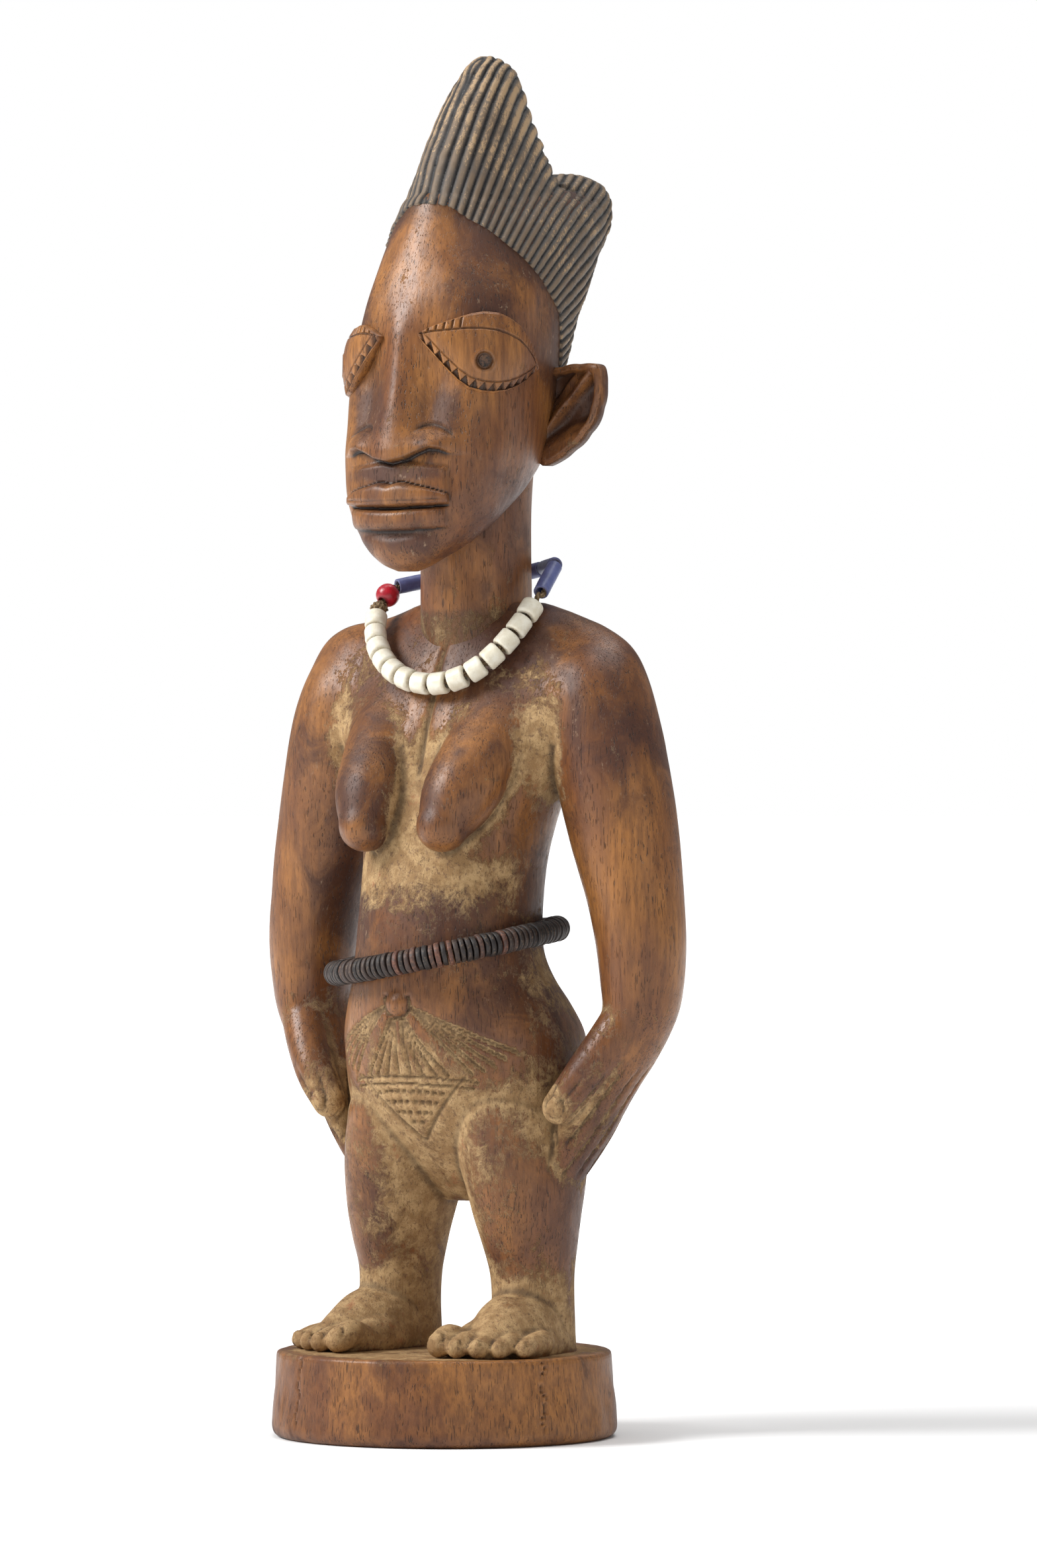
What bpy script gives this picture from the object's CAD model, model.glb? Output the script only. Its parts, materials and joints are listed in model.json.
"""Standing twin figure: carved wood on a round plinth, with a bead necklace and a waist string."""

import json

import bmesh
import bpy
import numpy as np
from bpy.props import FloatProperty, FloatVectorProperty, IntProperty, PointerProperty
from bpy.types import Operator, Panel, PropertyGroup
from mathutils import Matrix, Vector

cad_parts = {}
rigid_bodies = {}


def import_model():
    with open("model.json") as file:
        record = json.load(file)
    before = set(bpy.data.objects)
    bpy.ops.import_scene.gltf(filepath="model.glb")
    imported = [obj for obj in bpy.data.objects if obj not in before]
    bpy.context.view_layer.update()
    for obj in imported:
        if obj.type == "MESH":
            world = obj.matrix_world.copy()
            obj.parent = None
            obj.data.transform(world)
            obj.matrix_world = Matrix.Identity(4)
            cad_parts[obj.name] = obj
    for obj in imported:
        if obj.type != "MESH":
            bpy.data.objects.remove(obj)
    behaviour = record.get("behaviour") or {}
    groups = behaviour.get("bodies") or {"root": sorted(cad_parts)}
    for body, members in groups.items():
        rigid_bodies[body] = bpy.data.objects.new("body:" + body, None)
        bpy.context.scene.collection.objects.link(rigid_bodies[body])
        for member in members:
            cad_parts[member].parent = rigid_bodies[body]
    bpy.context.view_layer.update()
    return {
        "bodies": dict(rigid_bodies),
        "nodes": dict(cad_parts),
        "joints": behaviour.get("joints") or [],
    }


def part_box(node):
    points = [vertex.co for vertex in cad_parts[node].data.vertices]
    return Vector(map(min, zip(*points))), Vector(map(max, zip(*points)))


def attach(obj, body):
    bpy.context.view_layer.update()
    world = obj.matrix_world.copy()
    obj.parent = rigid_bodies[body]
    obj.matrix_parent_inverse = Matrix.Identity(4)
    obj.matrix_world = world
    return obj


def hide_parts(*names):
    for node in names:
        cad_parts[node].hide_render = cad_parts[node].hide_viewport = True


bl_info = {
    "name": "Standing twin figure",
    "version": (1, 0, 0),
    "blender": (4, 5, 0),
    "location": "View3D > Sidebar > Figure",
    "description": "Builds a carved standing figure with glass beads and a string of shell discs",
    "category": "Add Mesh",
}

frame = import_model()

MM = 0.001
FIGURE = "figure"
CARVING = "carved_figure"
# Heights of the plinth's top and of the level cut between the body's two pieces, under the discs.
SOLE, WAIST_CUT = 17.5, 98.6
PUPIL = np.array([17.5, -10.9, 217.8])

# Rows run upward: z, x centre, y of the widest place, front y, back y, half width,
# front squareness, back squareness. Millimetres; a squareness of 2 is an ellipse.
TRUNK_ROWS = [
    [47.5, 0, 10, 6, 15, 11, 2, 2], [52, 0, 9.5, 0.5, 21, 20, 2, 2],
    [58, 0, 9, -5, 25, 23.5, 2, 2], [64, 0, 8, -9.5, 28, 25, 2, 2],
    [70, 0, 8, -12.8, 30.5, 25.5, 2, 2], [76, 0, 8, -15, 31.5, 25.5, 2, 2],
    [82, 0, 7, -16.4, 31, 25, 2, 2], [88, 0, 5.3, -17.3, 27.6, 22.8, 2, 2],
    [93, 0, 3.3, -17.3, 23.6, 20.7, 2, 2], [97, 0, 2.2, -17.1, 21.2, 19.7, 2, 2],
    [104, 0, 2, -16.4, 20.4, 19, 2, 2], [110, 0, 3, -15.5, 21, 18.9, 2, 2],
    [117, 0, 4, -13.8, 21.7, 19, 2.1, 2.1], [123, 0, 5, -12.3, 22, 20, 2.2, 2.2],
    [130, 0, 6, -10.8, 22.5, 22, 2.3, 2.3], [138, 0, 7, -8.8, 23, 26, 2.3, 2.3],
    [145, 0, 8.5, -7, 23.5, 32, 2, 2.3], [151, 0, 10, -4.4, 23.8, 38.5, 1.7, 2.2],
    [156, 0, 12, -2, 23.8, 39.8, 1.5, 2.1], [161, 0, 13, 0.4, 23.6, 37.2, 1.45, 2],
    [165, 0, 13.5, 2.6, 23, 30.6, 1.4, 2], [168, 0, 13.8, 4.6, 22.5, 21, 1.5, 2],
    [169.6, 0, 13.8, 6, 21.5, 14, 2, 2]]
ARM_ROWS = [
    [52, 25.4, 9, 5.5, 12.5, 1.2, 2, 2], [56, 26, 9, 2.5, 15.5, 3, 2, 2],
    [60.5, 27.6, 9.2, 1.6, 17, 4.6, 2, 2], [66, 29.8, 9.5, 1.2, 18.2, 5.6, 2, 2],
    [71.3, 32.5, 10, 1, 19, 6.2, 2, 2], [76.7, 35.6, 10.6, 1, 19.8, 6.8, 2, 2],
    [82, 38.6, 10.9, 1.4, 20.2, 7, 2, 2], [87.5, 40.8, 11, 1.8, 20.2, 7.3, 2, 2],
    [92, 41, 11, 1.6, 20.4, 8, 2, 2], [98, 41, 10.9, 1.3, 20.5, 8.7, 2, 2],
    [104, 40.4, 10.9, 1, 20.7, 9.3, 2, 2], [110, 39.3, 10.9, 0.8, 21, 9.9, 2, 2],
    [120, 37, 11, 0.4, 21.5, 11.3, 2, 2], [130, 34.8, 11, -0.2, 22, 11.9, 2, 2],
    [140, 32.6, 10.7, -0.8, 22.4, 12, 2, 2], [147, 31.2, 10.6, -1, 22.4, 12, 2, 2],
    [153, 29.8, 10.8, -0.2, 22, 11.6, 2, 2], [158, 28.6, 11.4, 2.2, 20.6, 10.2, 2, 2],
    [162, 26.5, 12.4, 6.4, 18.4, 7, 2, 2], [164, 25.5, 12.8, 10, 15.6, 3, 2, 2]]
LEG_ROWS = [
    [16, 16.7, 7.6, -2.6, 17.6, 8.4, 2, 2], [22, 16.6, 7.6, -2.3, 17.5, 8, 2, 2],
    [28, 16.5, 7.8, -1.8, 17.5, 7.7, 2, 2], [33.5, 16.3, 7.8, -2, 17.6, 8, 2, 2],
    [38.9, 16.1, 7.4, -3.7, 18.3, 9, 2, 2], [44.3, 15.7, 7, -5.2, 19.2, 10.2, 2, 2],
    [50, 15.2, 7.2, -6.3, 20.8, 11.3, 2, 2], [56, 14.3, 7.4, -7.6, 22.8, 12, 2, 2],
    [62, 13.4, 8, -8.6, 24.6, 12, 2, 2], [70, 12, 8, -8, 25, 11, 2, 2],
    [76, 11, 8, -2, 20, 6, 2, 2]]
NECK_ROWS = [
    [158, 0, 11.2, 0.5, 22.6, 11.6, 2, 2], [166, 0, 11.2, -0.1, 22.5, 11.4, 2, 2],
    [176, 0, 11.2, -0.1, 22.5, 11.3, 2, 2], [188, 0, 11, -0.4, 22.6, 11.5, 2, 2],
    [200, 0, 10.5, -1, 23, 12.5, 2, 2]]
HEAD_ROWS = [
    [175.6, 0, -12.5, -14.6, -11, 2, 2, 2], [176.6, 0, -12.2, -16.2, -9.2, 4.6, 2.1, 2],
    [178.4, 0, -11.6, -17.2, -6.4, 7.6, 2.2, 2], [181, 0, -9.5, -17.9, -1.5, 10.8, 2.4, 2],
    [185, 0, -7, -18.1, 5, 13.9, 2.6, 2], [190, 0, -5, -18.1, 13, 16.6, 2.7, 2],
    [198, 0, -2, -17.7, 22, 18.7, 2.7, 2], [206, 0, 0, -16.9, 27, 19.1, 2.6, 2],
    [212, 0, 2, -16.4, 29.5, 19.3, 2.6, 2], [218, 0, 4, -15.8, 31.2, 19.2, 2.6, 2],
    [224, 0, 6, -15.2, 34, 19.1, 2.5, 2], [230, 0, 8, -13.9, 37.5, 18.8, 2.4, 2],
    [236, 0, 11, -12.1, 42, 18.2, 2.3, 2], [242, 0, 14, -10.1, 46.6, 17.3, 2.1, 2],
    [248, 0, 18, -7.8, 50.8, 15.8, 2, 2], [252, 0, 22, -6, 50.5, 13.8, 2, 2],
    [255, 0, 24, -2, 46, 10, 2, 2]]
FRONT_LOBE_ROWS = [
    [244, 0, 14, -9, 40, 15.5, 2, 2], [250, 0, 14.5, -6.8, 38, 14, 2, 2],
    [255, 0, 14.8, -4.8, 35, 12.5, 2, 2], [260.3, 0, 15, -2.6, 31.5, 11, 2, 2],
    [265.7, 0, 15, 0.8, 28, 9.6, 2, 2], [271, 0, 15.2, 4, 25.6, 8.2, 2, 2],
    [276.4, 0, 15.8, 8.2, 23.2, 6.4, 2, 2], [280.3, 0, 16, 11.4, 20.6, 4.0, 2, 2],
    [281.8, 0, 16, 14.0, 18.2, 1.8, 2, 2]]
REAR_LOBE_ROWS = [
    [240, 0, 36, 26, 45.6, 11, 2, 2], [246, 0, 40, 29, 50.2, 11, 2, 2],
    [251, 0, 43, 32, 53, 10.4, 2, 2], [255, 0, 44.4, 33, 53, 9, 2, 2],
    [257.8, 0, 44.6, 35.5, 51.5, 6.4, 2, 2], [259.4, 0, 44.6, 40, 48.6, 2.8, 2, 2]]


# ---------------------------------------------------------------- number helpers

def rise(low, high, value):
    """0 below low, 1 above high, and 3t^2 - 2t^3 between them."""
    t = np.clip((value - low) / (high - low), 0, 1)
    return t * t * (3 - 2 * t)


def hill(*pairs):
    """exp(-(d1/w1)^2 - (d2/w2)^2 ...) for each pair of distance and width."""
    return np.exp(-sum((d / w) ** 2 for d, w in pairs))


def lumps(x, y, z, size, seed):
    """Smooth unevenness from -1 to 1: a sum of sines along nine seeded directions, size mm long."""
    dice = np.random.default_rng(seed)
    ways = dice.normal(size=(9, 3))
    ways /= np.linalg.norm(ways, axis=1)[:, None]
    pace = 2 * np.pi / size * dice.uniform(0.6, 1.7, 9)
    start = dice.uniform(0, 2 * np.pi, 9)
    total = 0
    for way, p, s in zip(ways, pace, start):
        total = total + np.sin((way[0] * x + way[1] * y + way[2] * z) * p + s)
    return np.clip(total / 4.2, -1, 1)


def smooth_table(rows, count):
    """Rows against their first column at count even places, joined by cubic curves whose
    slope at each row is that between its two neighbours."""
    rows = np.array(rows, float)
    z = rows[:, 0]
    slope = np.gradient(rows, z, axis=0)
    at = np.linspace(z[0], z[-1], count)
    i = np.clip(np.searchsorted(z, at) - 1, 0, len(z) - 2)
    gap = (z[i + 1] - z[i])[:, None]
    t = (at[:, None] - z[i][:, None]) / gap
    return ((2 * t ** 3 - 3 * t ** 2 + 1) * rows[i] + (t ** 3 - 2 * t ** 2 + t) * gap * slope[i]
            + (3 * t ** 2 - 2 * t ** 3) * rows[i + 1] + (t ** 3 - t ** 2) * gap * slope[i + 1])


def loft(rows, sides, count):
    """A grid [count, sides]: each row's outline is x = half * cos^e, y = depth * sin^e, signed,
    with e = 2 / squareness, and rows between are smooth_table's."""
    table = smooth_table(rows, count)[:, :, None]
    z, mid, wide, front, back, half, square, square_back = [table[:, k] for k in range(8)]
    turn = np.linspace(0, 2 * np.pi, sides, endpoint=False)[None, :]
    c, s = np.cos(turn), np.sin(turn)
    power = 2 / np.where(s < 0, square, square_back)
    deep = np.where(s < 0, wide - front, back - wide)
    x = mid + half * np.sign(c) * np.abs(c) ** power
    y = wide + deep * np.sign(s) * np.abs(s) ** power
    return np.stack([x, y, z + 0 * turn], axis=2)


def tube(path, radii, sides=24, rounds=6, step=0.8):
    """A round bar [rings, sides] along points joined smoothly, with half-ball ends: ring centres
    follow the path, and past each end they go on by r sin(a) while the radius is r cos(a)."""
    path, radii = np.array(path, float), np.array(radii, float)
    far = np.concatenate([[0], np.cumsum(np.linalg.norm(np.diff(path, axis=0), axis=1))])
    count = max(3, int(far[-1] / step))
    table = smooth_table(np.column_stack([far, path, radii]), count)
    centres, r = table[:, 1:4], table[:, 4]
    ways = np.gradient(centres, axis=0)
    ways /= np.linalg.norm(ways, axis=1)[:, None]
    bend = np.linspace(0.15, np.pi / 2 - 0.05, rounds)
    head = centres[0] - ways[0] * (r[0] * np.sin(bend[::-1]))[:, None]
    tail = centres[-1] + ways[-1] * (r[-1] * np.sin(bend))[:, None]
    centres = np.vstack([head, centres, tail])
    ways = np.vstack([np.repeat(ways[:1], rounds, 0), ways, np.repeat(ways[-1:], rounds, 0)])
    r = np.concatenate([r[0] * np.cos(bend[::-1]), r, r[-1] * np.cos(bend)])
    side = np.array([1.0, 0, 0]) if abs(ways[:, 0]).max() < 0.8 else np.array([0, 0, 1.0])
    across = np.cross(ways, side)
    across /= np.linalg.norm(across, axis=1)[:, None]
    up = np.cross(across, ways)
    turn = np.linspace(0, 2 * np.pi, sides, endpoint=False)[None, :, None]
    return centres[:, None] + r[:, None, None] * (np.cos(turn) * across[:, None] + np.sin(turn) * up[:, None])


def sphere(sides, rings, short):
    """Latitudes a, longitudes t and the unit grid (cos a cos t, cos a sin t, sin a). It ends short
    of the poles, by short radians."""
    a = np.linspace(-np.pi / 2 + short, np.pi / 2 - short, rings)[:, None]
    t = np.linspace(0, 2 * np.pi, sides, endpoint=False)[None, :]
    return a, t, np.stack([np.cos(a) * np.cos(t), np.cos(a) * np.sin(t), np.sin(a) + 0 * t], axis=2)


def ball(centre, size):
    """An ellipsoid grid: centre + size * sphere."""
    return np.array(centre) + sphere(32, 17, 0.06)[2] * np.array(size)


def mirrored(grid):
    """The same grid on the other side of x = 0, with its columns reversed to face outwards."""
    return (grid * [-1, 1, 1])[:, ::-1]


def wall_faces(rows, sides, start=0):
    """Quads of a grid whose columns close on themselves, as an array of corner numbers."""
    j, i = np.meshgrid(np.arange(rows - 1), np.arange(sides), indexing="ij")
    k = (i + 1) % sides
    return (start + np.stack([j * sides + i, j * sides + k, (j + 1) * sides + k, (j + 1) * sides + i],
                             axis=2)).reshape(-1, 4)


def closed(grids):
    """Points and faces of tube-like grids, each closed by a face at its two ends."""
    points, faces, start = [], [], 0
    for grid in grids:
        rows, sides = grid.shape[:2]
        points.append(grid.reshape(-1, 3))
        faces += wall_faces(rows, sides, start).tolist()
        faces.append([start + i for i in range(sides - 1, -1, -1)])
        faces.append([start + (rows - 1) * sides + i for i in range(sides)])
        start += rows * sides
    return np.vstack(points), faces


# ---------------------------------------------------------------- mesh helpers

def add_mesh(name, points, faces):
    mesh = bpy.data.meshes.new(name)
    mesh.from_pydata((np.asarray(points) * MM).tolist(), [], faces)
    mesh.update()
    obj = bpy.data.objects.new(name, mesh)
    bpy.context.scene.collection.objects.link(obj)
    return obj


def outward(obj):
    """Turns every face outwards and smooths the shading."""
    work = bmesh.new()
    work.from_mesh(obj.data)
    bmesh.ops.recalc_face_normals(work, faces=work.faces)
    work.to_mesh(obj.data)
    work.free()
    obj.data.shade_smooth()


def solid(name, grid):
    """One closed, smooth, outward facing piece from a tube-like grid."""
    obj = add_mesh(name, *closed([grid]))
    outward(obj)
    return obj


def bake_modifiers(obj):
    """Replaces the mesh by its evaluated copy and clears the modifiers."""
    graph = bpy.context.evaluated_depsgraph_get()
    mesh = bpy.data.meshes.new_from_object(obj.evaluated_get(graph))
    obj.modifiers.clear()
    obj.data = mesh


def fused(obj, voxel, rounds):
    """Joins overlapping shells into one skin of even quads voxel mm wide, smoothed rounds times."""
    remesh = obj.modifiers.new("Fuse", "REMESH")
    remesh.mode, remesh.voxel_size = "VOXEL", voxel * MM
    smooth = obj.modifiers.new("Soften", "SMOOTH")
    smooth.factor, smooth.iterations = 0.5, rounds
    bake_modifiers(obj)


def soften(obj, weight, rounds):
    """Smooths only where weight (0 to 1 for each point) is above zero, in eight steps of strength."""
    group = obj.vertex_groups.new(name="soft")
    level = np.round(np.clip(weight, 0, 1) * 8).astype(int)
    for step in range(1, 9):
        group.add(np.flatnonzero(level == step).tolist(), step / 8, "REPLACE")
    smooth = obj.modifiers.new("Blend", "SMOOTH")
    smooth.factor, smooth.iterations, smooth.vertex_group = 0.9, rounds, "soft"
    bake_modifiers(obj)
    obj.vertex_groups.clear()


def read_points(obj, what="co"):
    data = np.zeros(len(obj.data.vertices) * 3, np.float32)
    obj.data.vertices.foreach_get(what, data)
    data = data.reshape(-1, 3).astype(float)
    return data / MM if what == "co" else data


def write_points(obj, points):
    obj.data.vertices.foreach_set("co", (points * MM).astype(np.float32).ravel())
    obj.data.update()


def paint(obj, name, values):
    """Stores one number for each point under a name that the materials read."""
    layer = obj.data.attributes.get(name) or obj.data.attributes.new(name, "FLOAT", "POINT")
    layer.data.foreach_set("value", np.clip(values, -1e4, 1e4).astype(np.float32))


def hollowness(obj, rounds):
    """How far each point lies under its neighbourhood, in mm: the points are averaged with their
    neighbours rounds times, and the move is measured along the outward normal."""
    points, normals = read_points(obj), read_points(obj, "normal")
    edges = np.zeros(len(obj.data.edges) * 2, np.int32)
    obj.data.edges.foreach_get("vertices", edges)
    a, b = edges.reshape(-1, 2).T
    count = len(points)
    degree = np.maximum(np.bincount(a, minlength=count) + np.bincount(b, minlength=count), 1)
    flat = points.copy()
    for _ in range(rounds):
        mean = [(np.bincount(a, flat[b, k], count) + np.bincount(b, flat[a, k], count)) / degree
                for k in range(3)]
        flat = np.column_stack(mean)
    return ((flat - points) * normals).sum(axis=1)


def finish_piece(obj, material, body, slot, *nodes):
    obj.data.materials.clear()
    obj.data.materials.append(material)
    if nodes:
        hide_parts(*nodes)
    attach(obj, body)


def finish_wood(obj, name="carved wood"):
    finish_piece(obj, material(name), FIGURE, "carved_wood", CARVING)


# ---------------------------------------------------------------- shader helpers

class Wire:
    """A number in a shader: Python's operators on it add Math nodes."""

    def __init__(self, kit, socket):
        self.kit, self.socket = kit, socket

    def do(self, operation, *others):
        return self.kit.add("ShaderNodeMath", {"operation": operation},
                            {i: v for i, v in enumerate((self,) + others)})

    def __add__(self, other):
        return self.do("ADD", other)

    def __mul__(self, other):
        return self.do("MULTIPLY", other)

    def __sub__(self, other):
        return self.do("SUBTRACT", other)

    def __rsub__(self, other):
        return (self * -1.0) + other

    __radd__, __rmul__ = __add__, __mul__

    def between(self, low, high):
        """0 at low, 1 at high, smooth between and steady outside; low may be the larger."""
        if low > high:
            return 1 - self.between(high, low)
        return self.kit.add("ShaderNodeMapRange", {"interpolation_type": "SMOOTHSTEP"},
                            {"Value": self, "From Min": low, "From Max": high})


class Kit:
    """Builds one material: add() makes any node, its settings first, then its sockets."""

    def __init__(self, name, **fixed):
        self.material = bpy.data.materials.new(name)
        self.material.use_nodes = True
        self.tree = self.material.node_tree
        self.shader = self.tree.nodes["Principled BSDF"]
        for socket, value in fixed.items():
            self.shader.inputs[socket.replace("_", " ")].default_value = value

    def add(self, kind, settings=None, sockets=None, out=0):
        node = self.tree.nodes.new(kind)
        for key, value in (settings or {}).items():
            setattr(node, key, value)
        for key, value in (sockets or {}).items():
            socket = node.inputs[key]
            if isinstance(value, Wire):
                self.tree.links.new(value.socket, socket)
            else:
                socket.default_value = value
        return Wire(self, node.outputs[out])

    def feed(self, **links):
        for key, value in links.items():
            self.tree.links.new(value.socket, self.shader.inputs[key.replace("_", " ")])

    def place(self, stretch=(1, 1, 1)):
        where = self.add("ShaderNodeTexCoord", out="Object")
        return self.add("ShaderNodeMapping", {}, {"Vector": where, "Scale": stretch})

    def noise(self, size, stretch=(1, 1, 1), detail=3.0, rough=0.5, warp=0.0):
        """Soft noise from 0 to 1 with lumps about size mm across."""
        return self.add("ShaderNodeTexNoise", {}, {
            "Vector": self.place(stretch), "Scale": 1 / (size * MM), "Detail": detail,
            "Roughness": rough, "Distortion": warp})

    def named(self, name):
        return self.add("ShaderNodeAttribute", {"attribute_name": name}, out="Fac")

    def mix(self, amount, a, b):
        """Colour a turning to colour b as amount goes from 0 to 1."""
        return self.add("ShaderNodeMix", {"data_type": "RGBA"}, {
            0: amount, 6: a if isinstance(a, Wire) else (*a, 1),
            7: b if isinstance(b, Wire) else (*b, 1)}, out=2)

    def bump(self, height, depth_mm, strength=1.0):
        return self.add("ShaderNodeBump", {}, {
            "Height": height, "Distance": depth_mm * MM, "Strength": strength})


def wood_material(name, light, mid, dark, dust_colour, gloss, along=(1, 1, 0.1), dust_gain=1.0):
    """Oiled wood: colour clouds, grain streaks, dark patina with pale and sooty flecks, short dark
    pores along the grain, and dust in the hollows."""
    kit = Kit(name, Specular_IOR_Level=0.38)
    cloud = kit.noise(21, (1, 1, 0.5), 4, 0.6, 0.4)
    patch = kit.noise(8, (1, 1, 0.6), 6, 0.72, 0.9)
    streak = kit.noise(1.1, along, 5, 0.65)
    colour = kit.mix(cloud.between(0.36, 0.66), mid, light)
    colour = kit.mix(streak.between(0.66, 0.34) * 0.62, colour, kit.mix(0.75, colour, dark))
    patina = kit.named("patina")
    shade = (patch + (streak - 0.5) * 0.3 + patina * 0.48).between(0.44, 0.78)
    colour = kit.mix(shade * 0.82, colour, dark)
    chalk = kit.noise(1.3, (1, 1, 0.6), 6, 0.8).between(0.57, 0.68)
    chalk = chalk * kit.noise(9, (1, 1, 1), 3, 0.6).between(0.38, 0.55)
    colour = kit.mix(chalk * (0.2 + shade * 0.8) * 0.55, colour, (0.36, 0.24, 0.15))
    soot = kit.noise(1.5, (1, 1, 0.5), 6, 0.8, 0.5).between(0.58, 0.70)
    colour = kit.mix(soot * (0.12 + shade * 0.5), colour, (0.022, 0.012, 0.010))
    pores = kit.noise(0.27, (1, 1, 0.10), 1.0, 0.5).between(0.62, 0.69)
    here = kit.noise(5.0, (1, 1, 0.4), 3, 0.6).between(0.38, 0.58)
    pores = pores * (0.25 + here * 0.75)
    colour = kit.mix(pores * 0.62, colour, (0.016, 0.008, 0.006))
    speck = kit.noise(0.8, (1, 1, 0.8), 6, 0.75)
    dust = kit.named("dust")
    veil = kit.noise(5.5, (1, 1, 0.8), 7, 0.78, 0.6)
    cover = (dust * dust_gain + (veil - 0.5) * 2.6 + (speck - 0.5) * 1.6).between(0.34, 0.84)
    tone = kit.noise(3.2, (1, 1, 1), 5, 0.7)
    damp = tuple(c * k for c, k in zip(dust_colour, (0.60, 0.54, 0.48)))
    dust_shade = kit.mix(tone.between(0.38, 0.64), damp, dust_colour)
    dust_shade = kit.mix((speck - 0.5).between(0.04, 0.12) * 0.75, dust_shade, (0.16, 0.090, 0.050))
    rust = kit.noise(6, (1, 1, 1), 5, 0.75).between(0.60, 0.70)
    dust_shade = kit.mix(rust * 0.55, dust_shade, (0.36, 0.13, 0.055))
    colour = kit.mix(cover * 0.88, colour, dust_shade)
    crease = kit.named("crease")
    colour = kit.mix(crease * 0.8, colour, (0.020, 0.011, 0.008))
    rub = kit.noise(2.2, (1, 1, 0.5), 6, 0.75)
    rough = (shade * 0.14 + cover * 0.38 + (rub - 0.5) * 0.3) + gloss
    height = rub * 0.45 + streak * 0.35 - pores * 1.1 + cover * speck * 1.6
    kit.feed(Base_Color=colour, Roughness=rough, Normal=kit.bump(height, 0.16, 0.9))
    return kit.material


def hair_material():
    """Blackened ridges whose grooves are darkest and whose tops are rubbed back to bare wood."""
    kit = Kit("carved hair")
    step = kit.named("ridge").do("FRACT")
    side = (step * 2 - 1).do("ABSOLUTE")
    top = 1 - side.between(0.22, 0.86)
    grain = kit.noise(0.5, (1, 1, 0.4), 6, 0.8)
    cloud = kit.noise(5, (1, 1, 0.5), 5, 0.7)
    colour = kit.mix(top, (0.012, 0.010, 0.010), (0.160, 0.110, 0.068))
    colour = kit.mix(cloud.between(0.42, 0.66) * 0.5, colour, (0.060, 0.057, 0.054))
    wear = kit.named("worn")
    bare = (wear + (grain - 0.5) * 2.8 + (cloud - 0.5) * 0.9 + (top - 0.6) * 0.5).between(0.45, 0.66)
    colour = kit.mix(bare * top * 0.8, colour, (0.40, 0.265, 0.14))
    groove = side.between(0.74, 0.95)
    grit = kit.noise(0.45, (1, 1, 1), 3, 0.7).between(0.60, 0.70)
    colour = kit.mix(groove * 0.85, colour, (0.010, 0.010, 0.011))
    colour = kit.mix(grit * (1 - top) * 0.5, colour, (0.20, 0.18, 0.15))
    height = (1 - side * side) * 0.55 + grain * 0.25
    kit.feed(Base_Color=colour, Roughness=0.62 + (grain - 0.5) * 0.3, Normal=kit.bump(height, 0.35, 0.8))
    return kit.material


def glass_material(name, tint, deep, dirt, rough, clear=0.0):
    """Old bead glass: faint clouds, brown specks and rings of dirt near the ends."""
    kit = Kit(name, IOR=1.5, Subsurface_Weight=clear, Subsurface_Radius=(0.002,) * 3)
    cloud = kit.noise(2.0, (1, 1, 1), 4, 0.6)
    colour = kit.mix(cloud.between(0.35, 0.65), tint, deep)
    rim = kit.named("rim")
    speck = kit.noise(0.5, (1, 1, 1), 5, 0.75).between(0.62, 0.74)
    grime = (rim + (kit.noise(1.2, (1, 1, 1), 5, 0.7) - 0.5) * 1.2).between(0.5, 0.95)
    colour = kit.mix(speck * 0.55, colour, dirt)
    colour = kit.mix(grime * 0.6, colour, dirt)
    pits = kit.noise(0.35, (1, 1, 1), 4, 0.6)
    kit.feed(Base_Color=colour, Roughness=rough + (grime * 0.3) + ((pits - 0.5) * 0.2),
             Normal=kit.bump(pits * 0.6 + cloud * 0.5 - grime * 0.3, 0.08, 0.7))
    return kit.material


def fibre_material():
    """Twisted plant fibre, paler strands over brown, with dirt between them."""
    kit = Kit("twisted fibre", Specular_IOR_Level=0.2)
    strand = kit.noise(0.35, (1, 1, 0.3), 5, 0.7)
    patch = kit.noise(2.5, (1, 1, 1), 3, 0.6)
    colour = kit.mix(strand.between(0.3, 0.7), (0.075, 0.045, 0.024), (0.34, 0.24, 0.135))
    colour = kit.mix(patch.between(0.5, 0.8) * 0.6, colour, (0.05, 0.032, 0.02))
    kit.feed(Base_Color=colour, Roughness=0.82 + (strand - 0.5) * 0.2, Normal=kit.bump(strand, 0.15))
    return kit.material


def disc_material():
    """Nutshell discs: brown-black faces, each disc its own shade, with paler rubbed edges."""
    kit = Kit("shell discs")
    own = kit.named("shade")
    grain = kit.noise(0.6, (1, 1, 1), 6, 0.7)
    colour = kit.mix(own, (0.014, 0.010, 0.009), (0.055, 0.030, 0.022))
    colour = kit.mix((own + (grain - 0.5)).between(0.80, 1.2), colour, (0.19, 0.060, 0.032))
    edge = (kit.named("rim") + (grain - 0.5) * 2.2).between(1.0, 1.5)
    colour = kit.mix(edge * 0.6, colour, (0.24, 0.16, 0.10))
    kit.feed(Base_Color=colour, Roughness=0.42 + grain * 0.25, Normal=kit.bump(grain, 0.08))
    return kit.material


def iron_material():
    """Old iron: dark grey with brown rust in patches."""
    kit = Kit("old iron")
    patch = kit.noise(0.8, (1, 1, 1), 5, 0.7)
    colour = kit.mix(patch.between(0.4, 0.65), (0.045, 0.042, 0.040), (0.13, 0.065, 0.035))
    kit.feed(Base_Color=colour, Roughness=0.5 + patch * 0.3, Metallic=1 - patch.between(0.4, 0.6) * 0.8,
             Normal=kit.bump(patch, 0.1))
    return kit.material


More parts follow.
